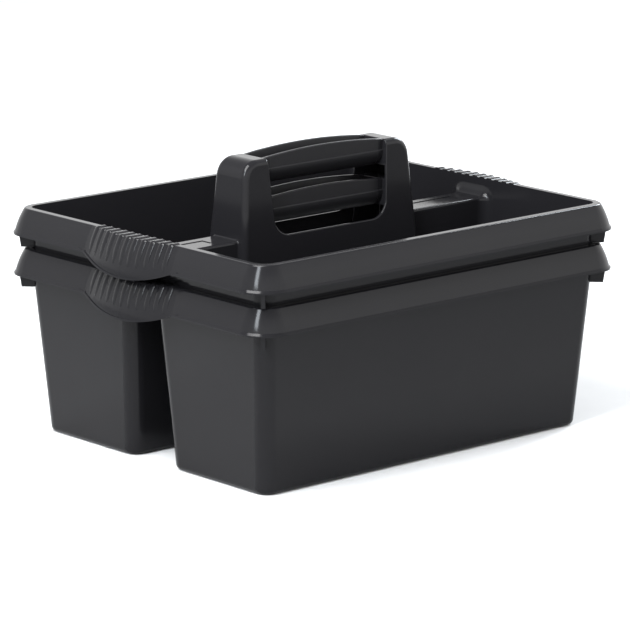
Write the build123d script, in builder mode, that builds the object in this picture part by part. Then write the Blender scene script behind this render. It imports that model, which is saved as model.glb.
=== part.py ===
"""Carrying caddy for tools: two identical one-piece mouldings, the upper one nested in the lower one.

Each caddy is a thin drafted shell. Two tubs stand side by side under one shared basin, a hollow
divider runs between them along X, and a hollow handle straddles the divider. A skirt hangs from
the rim all round, and at each short end it swells and droops into a ribbed finger grip.
Millimetres, +Z up, origin at the middle of the lower caddy's base, +X along the handle.
"""
from build123d import *
import math
import os

os.makedirs("parts", exist_ok=True)

# ---- Shell ---------------------------------------------------------------------------------------
wall = 1.9                                  # thickness of every wall and floor
rim_height = 157.0                          # top of the rim above the base
base_length, base_width = 349.5, 281.3      # outside of the two tubs together, at the base
draft = 0.0725                              # outward lean of the outer walls
corner_radius = 12.5
floor_radius = 5.0                          # outer edge round the foot of each tub
floor_inner_radius = 4.0

# ---- Divider and the channel under it ------------------------------------------------------------
deck_height = 141.6                         # flat top of the divider
deck_edge, underdeck_edge = 2.4, 1.0        # rounding along the deck, and along the channel's top
channel_width, channel_draft = 47.0, 0.069  # open width at the base, and how it narrows upwards
mouth_radius = 12.0                         # tub corners where the channel opens at the short ends
panel_length, panel_width, panel_depth = 46.0, 13.0, 0.5
panel_middle = 138.0                        # of the shallow panel in each end of the deck

# ---- Rim section: (outwards from the wall's outer face, down from the rim's top) --------------------
land_corner = (4.2, 0.0)                    # flat land, then a convex skirt, then a small lip
shoulder_radius = 2.2
skirt_belly = (8.9, 8.8)
skirt_foot = (12.4, 18.6)
lip_tip, lip_bottom, lip_inside = (13.8, 20.4), (13.8, 21.7), (11.6, 21.7)

# ---- Handle --------------------------------------------------------------------------------------
handle_top = 206.4                          # flat tops of the two posts
handle_length, handle_width = 213.2, 69.6   # where its faces would meet the base
handle_draft = 0.0805
handle_crown, handle_edge = 15.0, 5.0       # rounding of its two ends, and of its side edges
foot_radius = 1.4                           # where the handle rises from the divider
window_floor = deck_height + 0.3
window_half, window_lean = 60.5, 0.075      # hand opening: half width at its floor, and its flare
window_radius, window_edge = 16.0, 0.9      # its lower corners, and the rounding of its rim
grip_rise = 3.8                             # the grip arches up between the posts
# Grip section, as (half width, depth below its top): a flat band, then a roll that stands a little proud.
grip_brim, grip_crease, grip_roll = (13.2, 0.0), (13.8, 12.4), (14.6, 13.0)
grip_belly, grip_bottom = (13.5, 20.0), (8.6, 25.5)
roll_radius, grip_edge, grip_lip = 0.9, 2.0, 1.0
hollow_brim, hollow_floor = (10.6, -1.0), (6.0, 23.4)

# ---- Finger grips: the rim's section, bowed outwards in plan ----------------------------------------
pad_half = 54.6                             # half of the width in which the skirt bows and droops
pad_bow, pad_droop, pad_wall = 7.0, 10.5, 2.3
pad_ease, ease_radius = 8.0, 100.0          # how far and how softly it eases out of the straight skirt
pad_sink = 0.3                              # its ends start this deep in the straight skirt
pad_foot = (14.9, 33.5)                     # where the skirt's line would end, as in the rim section
pad_lip, lip_height = 0.9, 1.6              # lip along the drooping edge
rib_count, rib_pitch = 11, 9.2
rib_half, rib_proud, rib_root = 3.3, 1.0, 1.0
rib_shoulder = (6.7, 4.2)
rib_end = (12.3, 22.0)                      # where a rib has sunk into the skirt

# ---- Stacking ------------------------------------------------------------------------------------
stack_pitch = 34.0                          # the upper caddy stands this much above the lower one
seat_gap = 0.3                              # between a stacking lug and the rim below it
lug_thickness = 3.4
lug_reach, lug_toe = 9.4, 7.6               # outer edge of a lug at the skirt's foot and at its bottom

overrun = 2.0                               # how far a cutting block runs past what it cuts
rim_half_length = base_length / 2 + draft * rim_height
rim_half_width = base_width / 2 + draft * rim_height
grip_top = handle_top + grip_rise
pad_reach, pad_rise = pad_half + pad_ease, pad_bow + pad_sink
pad_turn = 2 * math.atan(pad_rise / pad_reach)
crown_radius = pad_reach / math.sin(pad_turn) - ease_radius
inflection = (ease_radius * (1 - math.cos(pad_turn)), crown_radius * math.sin(pad_turn))
pad_depth = 3 * pad_foot[0]
pad_ends = rim_half_length - pad_sink
pad_plane = Plane(origin=(rim_half_length + pad_bow, 0, rim_height), x_dir=(1, 0, 0), z_dir=(0, 1, 0))


def trapezoid(base, slope, low, high, crown=0.0):
    """Section of a drafted block: base wide at height 0, each side leaning outwards by slope."""
    with BuildSketch() as outline:
        foot_half, head_half = base / 2 + slope * low, base / 2 + slope * high
        Polygon((-foot_half, low), (foot_half, low), (head_half, high), (-head_half, high), align=None)
        if crown:
            fillet(outline.vertices().group_by(Axis.Y)[-1], crown)
    return outline.sketch


def handle_block(inset, low):
    """The handle's outside, or the hollow inside it, as a tapered block with rounded ends."""
    high = handle_top - inset
    with BuildPart() as block:
        with BuildSketch(Plane.XZ):
            add(trapezoid(handle_length - 2 * inset, -handle_draft, low, high, handle_crown - inset))
        extrude(amount=handle_width, both=True)
        with BuildSketch(Plane.YZ):
            add(trapezoid(handle_width - 2 * inset, -handle_draft, low, high))
        extrude(amount=handle_length, both=True, mode=Mode.INTERSECT)
        side_edges = block.edges().filter_by(
            lambda edge: edge.center().Z > low + 1 and abs(edge.center().Y) > handle_width / 6)
        fillet(side_edges, handle_edge - inset)
    return block.part


def basin_block(inset, low, divider_top, divider_edge):
    """The two drafted tubs and the basin over them: the shell's outside, or the space inside it."""
    with BuildPart() as block:
        with BuildSketch(Plane.XZ):
            add(trapezoid(base_length - 2 * inset, draft, low, rim_height))
        extrude(amount=base_width, both=True)
        with BuildSketch(Plane.YZ):
            add(trapezoid(base_width - 2 * inset, draft, low, rim_height))
        extrude(amount=base_length, both=True, mode=Mode.INTERSECT)
        middle = (low + rim_height) / 2
        fillet(block.edges().filter_by(lambda edge: abs(edge.center().Z - middle) < 1), corner_radius - inset)
        with BuildSketch(Plane.YZ):
            add(trapezoid(channel_width + 2 * inset, -channel_draft, low - wall, divider_top, divider_edge))
        extrude(amount=base_length, both=True, mode=Mode.SUBTRACT)
        mouths = block.edges().filter_by(
            lambda edge: abs(edge.center().X) > base_length / 2 - inset - 1
            and abs(edge.center().Y) < channel_width and edge.center().Z < divider_top + 1)
        fillet(mouths, mouth_radius - inset)
    return block.part


def rim_section(foot=skirt_foot, lipped=True, reach=wall / 2, thickness=wall):
    """Section of the rim: land, shoulder and skirt down to foot, with or without the lip."""
    slope = (foot[0] - skirt_belly[0]) / (foot[1] - skirt_belly[1])
    inner_foot = (foot[0] - thickness, foot[1] + thickness * slope)
    inner_belly = (skirt_belly[0] - thickness, skirt_belly[1] + thickness / 3)
    inner_corner = (land_corner[0] - thickness / 2, thickness)
    with BuildSketch() as section:
        with BuildLine():
            Polyline((-reach, thickness), (-reach, 0), land_corner)
            ThreePointArc(land_corner, skirt_belly, foot)
            if lipped:
                Polyline(foot, lip_tip, lip_bottom, lip_inside, inner_foot)
            else:
                Line(foot, inner_foot)
            ThreePointArc(inner_foot, inner_belly, inner_corner)
            Line(inner_corner, (-reach, thickness))
        make_face()
        fillet(section.vertices().sort_by_distance(land_corner)[0], shoulder_radius)
    return section.sketch


def bowed(section):
    """A section of the finger grip carried along its line: bowed in the middle, easing back at its ends."""
    crown_middle, ease_middle = rim_half_length + pad_bow - crown_radius, pad_ends + ease_radius
    with BuildPart() as body:
        with BuildSketch(pad_plane):
            add(section)
        revolve(axis=Axis((crown_middle, 0, 0), (0, 0, -1)), revolution_arc=math.degrees(pad_turn))
        with BuildSketch(Plane(origin=(pad_ends, -pad_reach, rim_height), x_dir=(1, 0, 0), z_dir=(0, 1, 0))):
            add(section)
        revolve(axis=Axis((ease_middle, -pad_reach, 0), (0, 0, -1)), revolution_arc=math.degrees(pad_turn))
        mirror(about=Plane.XZ)
    return body.part


def pad_outline(raised):
    """Area that the finger grip fills as seen along X, with its drooping edge raised by some height."""
    brow, foot = rim_height + 1, rim_height - lip_bottom[1] + raised
    with BuildSketch() as outline:
        with BuildLine():
            Polyline((-pad_half, foot), (-pad_reach, foot + lip_height), (-pad_reach, brow),
                     (pad_reach, brow), (pad_reach, foot + lip_height), (pad_half, foot))
            ThreePointArc((pad_half, foot), (0, foot - pad_droop), (-pad_half, foot))
        make_face()
    return outline.sketch


def grip_side(point, side):
    """A point of the grip's section, on its left (-1) or right (+1) half, as (y, z)."""
    return (side * point[0], grip_top - point[1])


def handle_end(z):
    """Half of the handle's length at height z."""
    return handle_length / 2 - handle_draft * z


def on_opening_rim(edge):
    """Whether an edge lies where the hand opening breaks through the handle's outer faces."""
    middle = edge.center()
    face = handle_width / 2 - handle_draft * middle.Z
    return (abs(abs(middle.Y) - face) < wall / 2 and abs(middle.X) < post_face + 1
            and window_floor - 1 < middle.Z < handle_top + 1)


def bow(y):
    """How far the finger grip stands out from the straight rim at y."""
    if abs(y) < inflection[1]:
        return (crown_radius ** 2 - y ** 2) ** 0.5 - crown_radius + pad_bow
    return ease_radius - (ease_radius ** 2 - (pad_reach - abs(y)) ** 2) ** 0.5 - pad_sink


# ---- Space inside the shell, clear of the handle ----------------------------------------------------
outside = basin_block(0, 0, deck_height - wall, underdeck_edge)
cavity = basin_block(wall, wall, deck_height, deck_edge)
handle_outside = handle_block(0, 0)
handle_hollow = handle_block(wall, -1)
with BuildPart() as space:
    add(cavity)
    tub_floors = space.edges().filter_by(lambda edge: abs(edge.bounding_box().max.Z - wall) < 0.01)
    fillet(tub_floors, floor_inner_radius)
    add(handle_outside, mode=Mode.SUBTRACT)
    handle_foot = space.edges().filter_by(
        lambda edge: abs(abs(edge.center().X) - handle_end(edge.center().Z)) < foot_radius
        and abs(edge.center().Y) < channel_width / 2 + 2 * wall and edge.center().Z < deck_height + 1)
    fillet(handle_foot, foot_radius)

# ---- Channel that stays open under the handle -------------------------------------------------------
with BuildPart() as channel:
    with BuildSketch(Plane.YZ):
        add(trapezoid(channel_width, -channel_draft, -wall, deck_height - wall, underdeck_edge))
    extrude(amount=handle_length / 2 + overrun, both=True)

# ---- Hand opening ----------------------------------------------------------------------------------
with BuildPart() as window:
    with BuildSketch(Plane.XZ):
        window_head = grip_top + overrun
        head_half = window_half + window_lean * (window_head - window_floor)
        Polygon((-window_half, window_floor), (window_half, window_floor),
                (head_half, window_head), (-head_half, window_head), align=None)
    extrude(amount=handle_width, both=True)
    fillet(window.edges().filter_by(Axis.Y).group_by(Axis.Z)[0], window_radius)

# ---- Cheeks that close the posts on both sides of the grip ------------------------------------------
with BuildPart() as cheeks:
    with BuildSketch(Plane.XZ):
        post_face = window_half + window_lean * (handle_top - window_floor)
        cheek_foot = grip_top - grip_bottom[1]
        foot_face = window_half + window_lean * (cheek_foot - window_floor)
        Polygon((foot_face, cheek_foot), (foot_face + wall, cheek_foot),
                (post_face + wall, handle_top), (post_face, handle_top), align=None)
    extrude(amount=handle_width, both=True)
    add(handle_outside, mode=Mode.INTERSECT)
    mirror(about=Plane.YZ)

# ---- Grip: a creased trough that arches between the posts -------------------------------------------
with BuildPart() as grip:
    grip_end = post_face + wall / 2
    with BuildSketch(Plane.YZ) as grip_outline:
        with BuildLine():
            Line(grip_side(grip_brim, -1), grip_side(grip_brim, 1))
            Line(grip_side(grip_bottom, -1), grip_side(grip_bottom, 1))
            for side in (-1, 1):
                Polyline(grip_side(grip_brim, side), grip_side(grip_crease, side), grip_side(grip_roll, side))
                ThreePointArc(grip_side(grip_roll, side), grip_side(grip_belly, side),
                              grip_side(grip_bottom, side))
        make_face()
        rolls = grip_outline.vertices().filter_by(lambda point: abs(abs(point.X) - grip_roll[0]) < 0.1)
        fillet(rolls, roll_radius)
        fillet(grip_outline.vertices().group_by(Axis.Y)[0], grip_edge)
    extrude(amount=grip_end, both=True)
    with BuildSketch(Plane.YZ):
        Polygon(grip_side(hollow_brim, -1), grip_side(hollow_floor, -1),
                grip_side(hollow_floor, 1), grip_side(hollow_brim, 1), align=None)
    extrude(amount=grip_end, both=True, mode=Mode.SUBTRACT)
    with BuildSketch(Plane.XZ):
        with BuildLine():
            arch_half, arch_foot, below = post_face + wall, handle_top - 0.2, grip_top - 2 * grip_bottom[1]
            ThreePointArc((-arch_half, arch_foot), (0, grip_top), (arch_half, arch_foot))
            Polyline((arch_half, arch_foot), (arch_half, below), (-arch_half, below), (-arch_half, arch_foot))
        make_face()
    extrude(amount=handle_width, both=True, mode=Mode.INTERSECT)
    lips = grip.edges().filter_by(lambda edge: edge.center().Z > handle_top and edge.length > post_face)
    fillet(lips, grip_lip)

# ---- Rim ring --------------------------------------------------------------------------------------
with BuildPart() as rim:
    with BuildSketch(Plane.XY.offset(rim_height), mode=Mode.PRIVATE) as rim_outline:
        RectangleRounded(2 * rim_half_length, 2 * rim_half_width, corner_radius)
    rim_line = rim_outline.sketch.wire()
    heading = rim_line % 0
    with BuildSketch(Plane(origin=rim_line @ 0, x_dir=heading.cross(Vector(0, 0, 1)), z_dir=heading)):
        add(rim_section())
    sweep(path=rim_line)

# ---- Finger grip at the +X end ----------------------------------------------------------------------
with BuildPart() as pad:
    add(bowed(rim_section(pad_foot, lipped=False, reach=pad_rise + wall / 2, thickness=pad_wall)))
    with BuildSketch(Plane.YZ.offset(rim_half_length - wall / 2)):
        add(pad_outline(0))
    extrude(amount=pad_depth, mode=Mode.INTERSECT)

with BuildPart() as hem:
    with BuildSketch(mode=Mode.PRIVATE) as strip:
        with BuildLine():
            inner, outer = ([(out + shift, down) for out, down in (land_corner, skirt_belly, pad_foot)]
                            for shift in (-wall / 2, pad_lip))
            ThreePointArc(*inner)
            ThreePointArc(*outer)
            Line(inner[0], outer[0])
            Line(inner[-1], outer[-1])
        make_face()
    add(bowed(strip.sketch))
    with BuildSketch(Plane.YZ.offset(rim_half_length - wall / 2)):
        add(pad_outline(0))
        add(pad_outline(lip_height), mode=Mode.SUBTRACT)
    extrude(amount=pad_depth, mode=Mode.INTERSECT)

# The straight rim makes room for the finger grip.
with BuildPart() as pad_room:
    with Locations((rim_half_length + 0.5, 0, rim_height + 1)):
        Box(2 * lip_tip[0], 2 * pad_half - 1, 2 * lip_bottom[1], align=(Align.MIN, Align.CENTER, Align.MAX))

# ---- Ribs: low domes that run out over the land and down the skirt -----------------------------------
with BuildPart() as rib:
    with BuildLine(pad_plane) as rib_line:
        Line((-pad_bow - wall / 2, 0), land_corner)
        shoulder = ThreePointArc(land_corner, rib_shoulder, skirt_belly)
        TangentArc(skirt_belly, rib_end, tangent=shoulder % 1)
        land_end = rib_line.vertices().sort_by_distance(pad_plane.from_local_coords((*land_corner, 0)))[0]
        fillet(land_end, shoulder_radius)
    rib_start = rib_line.vertices().sort_by(Axis.X)[0].center()
    with BuildSketch(Plane(origin=rib_start, x_dir=(0, 1, 0), z_dir=(1, 0, 0))):
        with BuildLine():
            ThreePointArc((-rib_half, 0), (0, rib_proud), (rib_half, 0))
            Polyline((rib_half, 0), (rib_half, -rib_root), (-rib_half, -rib_root), (-rib_half, 0))
        make_face()
    sweep(path=rib_line.wire())

with BuildPart() as ribs:
    for index in range(rib_count):
        y = (index - (rib_count - 1) / 2) * rib_pitch
        with Locations((bow(y) - pad_bow, y, 0)):
            add(rib.part)
    with Locations((rim_half_length - wall + 0.2, 0, rim_height)):
        Box(2 * pad_foot[0], 2 * pad_half, 2 * pad_foot[1],
            align=(Align.MIN, Align.CENTER, Align.CENTER), mode=Mode.INTERSECT)

# ---- Stacking lugs, in the diagonal planes of the corners --------------------------------------------
with BuildPart() as lugs:
    rim_corner = (rim_half_length - corner_radius, rim_half_width - corner_radius, rim_height)
    with BuildSketch(Plane(origin=rim_corner, x_dir=(1, 1, 0), z_dir=(1, -1, 0))):
        inner, seat = corner_radius - wall / 2, stack_pitch - seat_gap
        inner_toe = inner - draft * seat * 1.23
        skirt = [(corner_radius + out - 1, -down) for out, down in (land_corner, skirt_belly, skirt_foot)]
        Polygon((inner, -wall / 2), (skirt[0][0], -wall / 2), skirt[1], skirt[2],
                (corner_radius + lug_reach, -lip_bottom[1]), (corner_radius + lug_toe, -seat),
                (inner_toe, -seat), align=None)
    extrude(amount=lug_thickness / 2, both=True)
    mirror(about=Plane.XZ)
    mirror(about=Plane.YZ)

# ---- The moulding -----------------------------------------------------------------------------------
with BuildPart() as lower_caddy:
    add(outside)
    fillet(lower_caddy.edges().filter_by(lambda edge: abs(edge.bounding_box().max.Z) < 0.01), floor_radius)
    add(handle_outside)
    add(space.part, mode=Mode.SUBTRACT)
    add(handle_hollow, mode=Mode.SUBTRACT)
    add(channel.part, mode=Mode.SUBTRACT)
    add(window.part, mode=Mode.SUBTRACT)
    add(cheeks.part)
    fillet(lower_caddy.edges().filter_by(on_opening_rim), window_edge)
    add(grip.part)
    add(rim.part)
    for turn in (0, 180):
        with Locations(Location((0, 0, 0), (0, 0, turn))):
            add(pad_room.part, mode=Mode.SUBTRACT)
            add(pad.part)
            add(hem.part)
            add(ribs.part)
    add(lugs.part)
    with Locations((panel_middle, 0, deck_height), (-panel_middle, 0, deck_height)):
        Box(panel_length, panel_width, 2 * panel_depth, mode=Mode.SUBTRACT)
lower_caddy.part.label = "lower_caddy"
export_step(lower_caddy.part, "parts/lower_caddy.step")

with BuildPart() as upper_caddy:
    with Locations((0, 0, stack_pitch)):
        add(lower_caddy.part)
upper_caddy.part.label = "upper_caddy"
export_step(upper_caddy.part, "parts/upper_caddy.step")
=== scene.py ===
"""Looks of two nested tool caddies: glossy black polypropylene mouldings in a plain white studio."""
import math

import bpy
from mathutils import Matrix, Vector


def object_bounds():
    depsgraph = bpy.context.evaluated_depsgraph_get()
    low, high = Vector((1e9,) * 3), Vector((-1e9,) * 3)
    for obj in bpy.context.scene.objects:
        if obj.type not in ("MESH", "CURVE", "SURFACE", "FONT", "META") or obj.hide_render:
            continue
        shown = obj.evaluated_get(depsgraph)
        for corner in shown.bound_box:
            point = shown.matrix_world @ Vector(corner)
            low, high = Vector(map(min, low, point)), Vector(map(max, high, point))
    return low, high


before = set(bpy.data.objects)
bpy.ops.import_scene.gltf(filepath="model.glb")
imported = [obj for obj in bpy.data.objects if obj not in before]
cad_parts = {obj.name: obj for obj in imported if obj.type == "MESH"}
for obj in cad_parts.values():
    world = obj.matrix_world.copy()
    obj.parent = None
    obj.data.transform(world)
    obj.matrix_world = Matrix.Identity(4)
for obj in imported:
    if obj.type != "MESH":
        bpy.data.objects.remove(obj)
cad_low, cad_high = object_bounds()
centre = (cad_low + cad_high) / 2

# Camera: the direction it looks from, in degrees, its distance in metres, and the point it looks at.
CAMERA_AZIMUTH, CAMERA_ELEVATION, CAMERA_ROLL = -41.517, 13.098, 0.057
CAMERA_DISTANCE = 3.302
CAMERA_AIM = centre + Vector((-0.0427, -0.0504, -0.0100))
SENSOR_WIDTH, LENS = 36.0, 230.3


def direction(azimuth, elevation):
    """Unit vector towards a place round the object; azimuth 0 is -Y and 90 is +X."""
    a, e = math.radians(azimuth), math.radians(elevation)
    return Vector((math.sin(a) * math.cos(e), -math.cos(a) * math.cos(e), math.sin(e)))


def make_camera():
    """A long lens aimed a little to one side of the middle."""
    data = bpy.data.cameras.new("camera")
    data.sensor_width, data.lens = SENSOR_WIDTH, LENS
    data.clip_start, data.clip_end = 0.1, 50.0
    camera = bpy.data.objects.new("camera", data)
    bpy.context.scene.collection.objects.link(camera)
    back = direction(CAMERA_AZIMUTH, CAMERA_ELEVATION)
    camera.location = CAMERA_AIM + back * CAMERA_DISTANCE
    facing = back.to_track_quat("Z", "Y")
    camera.rotation_euler = facing.to_euler()
    camera.rotation_euler.rotate_axis("Z", math.radians(CAMERA_ROLL))
    bpy.context.scene.camera = camera


# ---- Materials ---------------------------------------------------------------------------------
# The satin grip bars, in metres: how far they reach from the middle along X and Y, the height where the
# satin starts, and how far it fades along X, Y and Z.
GRIP_REACH, GRIP_FOOT = (0.059, 0.0155), 0.166
GRIP_FADE = (0.002, 0.001, 0.004)
GLOSSY, SATIN = (0.11, 0.17), (0.28, 0.46)  # least and most roughness
FLOW_DARK, FLOW_PALE = (0.0053, 0.0053, 0.0061, 1), (0.0066, 0.0064, 0.0072, 1)
PLASTIC_IOR, PLASTIC_REFLECTION = 1.49, 0.11
PAPER_TONE, PAPER_ROUGHNESS, PAPER_REFLECTION, FIBRE_SCALE = (0.53, 0.57), 0.9, 0.1, 300.0


def map_range(nodes, links, value, outputs, inputs=(0.0, 1.0), curve="LINEAR"):
    """Value carried from one range to another."""
    node = nodes.new("ShaderNodeMapRange")
    node.interpolation_type = curve
    node.inputs["From Min"].default_value, node.inputs["From Max"].default_value = inputs
    node.inputs["To Min"].default_value, node.inputs["To Max"].default_value = outputs
    links.new(value, node.inputs["Value"])
    return node.outputs["Result"]


def product(nodes, links, first, second):
    """The two values multiplied."""
    node = nodes.new("ShaderNodeMath")
    node.operation = "MULTIPLY"
    links.new(first, node.inputs[0])
    links.new(second, node.inputs[1])
    return node.outputs["Value"]


def black_plastic():
    """Glossy black moulded plastic, satin on the grip bars, with faint flow colour, grain and waviness."""
    material = bpy.data.materials.new("black_plastic")
    material.use_nodes = True
    nodes, links = material.node_tree.nodes, material.node_tree.links
    shader = nodes["Principled BSDF"]
    shader.inputs["IOR"].default_value = PLASTIC_IOR
    shader.inputs["Specular IOR Level"].default_value = PLASTIC_REFLECTION
    place = nodes.new("ShaderNodeTexCoord").outputs["Object"]

    def noise(scale, detail):
        node = nodes.new("ShaderNodeTexNoise")
        node.inputs["Scale"].default_value = scale
        node.inputs["Detail"].default_value = detail
        links.new(place, node.inputs["Vector"])
        return node.outputs["Fac"]

    def near_middle(axis, reach, fade):
        """1 up to this reach either way along an axis, and 0 past the fade."""
        distance = nodes.new("ShaderNodeMath")
        distance.operation = "ABSOLUTE"
        links.new(axis, distance.inputs[0])
        return map_range(nodes, links, distance.outputs["Value"], (1.0, 0.0), (reach, reach + fade))

    def bump(height, strength, distance):
        node = nodes.new("ShaderNodeBump")
        node.inputs["Strength"].default_value = strength
        node.inputs["Distance"].default_value = distance
        links.new(height, node.inputs["Height"])
        return node

    flow = nodes.new("ShaderNodeMix")
    flow.data_type = "RGBA"
    flow.inputs["A"].default_value = FLOW_DARK
    flow.inputs["B"].default_value = FLOW_PALE
    links.new(noise(scale=9.0, detail=3.0), flow.inputs["Factor"])
    links.new(flow.outputs["Result"], shader.inputs["Base Color"])

    axes = nodes.new("ShaderNodeSeparateXYZ")
    links.new(place, axes.inputs["Vector"])
    along = near_middle(axes.outputs["X"], GRIP_REACH[0], GRIP_FADE[0])
    across = near_middle(axes.outputs["Y"], GRIP_REACH[1], GRIP_FADE[1])
    above = map_range(nodes, links, axes.outputs["Z"], (0.0, 1.0), (GRIP_FOOT, GRIP_FOOT + GRIP_FADE[2]))
    roughness = nodes.new("ShaderNodeMix")
    on_grip = product(nodes, links, product(nodes, links, along, across), above)
    links.new(on_grip, roughness.inputs["Factor"])
    links.new(map_range(nodes, links, noise(scale=40.0, detail=4.0), GLOSSY), roughness.inputs["A"])
    links.new(map_range(nodes, links, noise(scale=160.0, detail=4.0), SATIN), roughness.inputs["B"])
    links.new(roughness.outputs["Result"], shader.inputs["Roughness"])

    grain = bump(noise(scale=1800.0, detail=2.0), strength=0.05, distance=0.0002)
    wave = bump(noise(scale=14.0, detail=1.0), strength=0.12, distance=0.0012)
    links.new(grain.outputs["Normal"], wave.inputs["Normal"])
    links.new(wave.outputs["Normal"], shader.inputs["Normal"])
    return material


def paper():
    """The pale paper that the caddies stand on."""
    material = bpy.data.materials.new("paper")
    material.use_nodes = True
    nodes, links = material.node_tree.nodes, material.node_tree.links
    shader = nodes["Principled BSDF"]
    shader.inputs["Roughness"].default_value = PAPER_ROUGHNESS
    shader.inputs["Specular IOR Level"].default_value = PAPER_REFLECTION
    fibre = nodes.new("ShaderNodeTexNoise")
    fibre.inputs["Scale"].default_value = FIBRE_SCALE
    links.new(map_range(nodes, links, fibre.outputs["Fac"], PAPER_TONE), shader.inputs["Base Color"])
    return material


# ---- Studio ------------------------------------------------------------------------------------
FLOOR_HALF = 6.0            # half the side of the square floor, in metres
SKY_GLOW = (3.1, 0.9)       # strength of the surround low down, and overhead
GLOW_HEIGHTS = (0.35, 0.8)  # Z of the direction where that change starts and ends
SKY_SIDES = (1.0, 0.56)     # share of it that the front has, and the back
SIDE_DEPTHS = (-0.6, 0.7)   # Y of the direction where that change starts and ends
SIDE_COLOUR = (0.88, 0.94, 1.0)


def make_floor():
    """A square of paper level with the foot of the lower caddy."""
    mesh = bpy.data.meshes.new("floor")
    around = ((-1, -1), (1, -1), (1, 1), (-1, 1))
    corners = [(x * FLOOR_HALF, y * FLOOR_HALF, cad_low.z) for x, y in around]
    mesh.from_pydata(corners, [], [(0, 1, 2, 3)])
    floor = bpy.data.objects.new("floor", mesh)
    bpy.context.scene.collection.objects.link(floor)
    mesh.materials.append(paper())


def softbox(name, azimuth, elevation, distance, width, height, power, colour=(1, 1, 1)):
    """A soft rectangular light round the object, facing its middle."""
    data = bpy.data.lights.new(name, "AREA")
    data.shape = "RECTANGLE"
    data.size, data.size_y = width, height
    data.energy, data.color = power, colour
    light = bpy.data.objects.new(name, data)
    bpy.context.scene.collection.objects.link(light)
    back = direction(azimuth, elevation)
    light.location = centre + back * distance
    light.rotation_euler = back.to_track_quat("Z", "Y").to_euler()


def make_world():
    """A white surround, brightest low down and in front."""
    world = bpy.data.worlds.new("studio")
    world.use_nodes = True
    nodes, links = world.node_tree.nodes, world.node_tree.links
    sky = nodes["Background"]
    sky.inputs["Color"].default_value = (1, 1, 1, 1)
    axes = nodes.new("ShaderNodeSeparateXYZ")
    links.new(nodes.new("ShaderNodeTexCoord").outputs["Generated"], axes.inputs["Vector"])
    glow = map_range(nodes, links, axes.outputs["Z"], SKY_GLOW, GLOW_HEIGHTS, "SMOOTHSTEP")
    side = map_range(nodes, links, axes.outputs["Y"], SKY_SIDES, SIDE_DEPTHS, "SMOOTHSTEP")
    links.new(product(nodes, links, glow, side), sky.inputs["Strength"])
    bpy.context.scene.world = world


make_camera()
make_world()
make_floor()
softbox("left", azimuth=-74, elevation=34, distance=2.5, width=0.5, height=1.1, power=70, colour=SIDE_COLOUR)
softbox("right", azimuth=101, elevation=32, distance=2.5, width=0.5, height=1.1, power=70, colour=SIDE_COLOUR)
softbox("top", azimuth=-85, elevation=60, distance=0.9, width=0.5, height=0.5, power=22)
plastic = black_plastic()
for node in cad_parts.values():
    node.data.materials.clear()
    node.data.materials.append(plastic)
bpy.context.scene.view_settings.view_transform = "Standard"
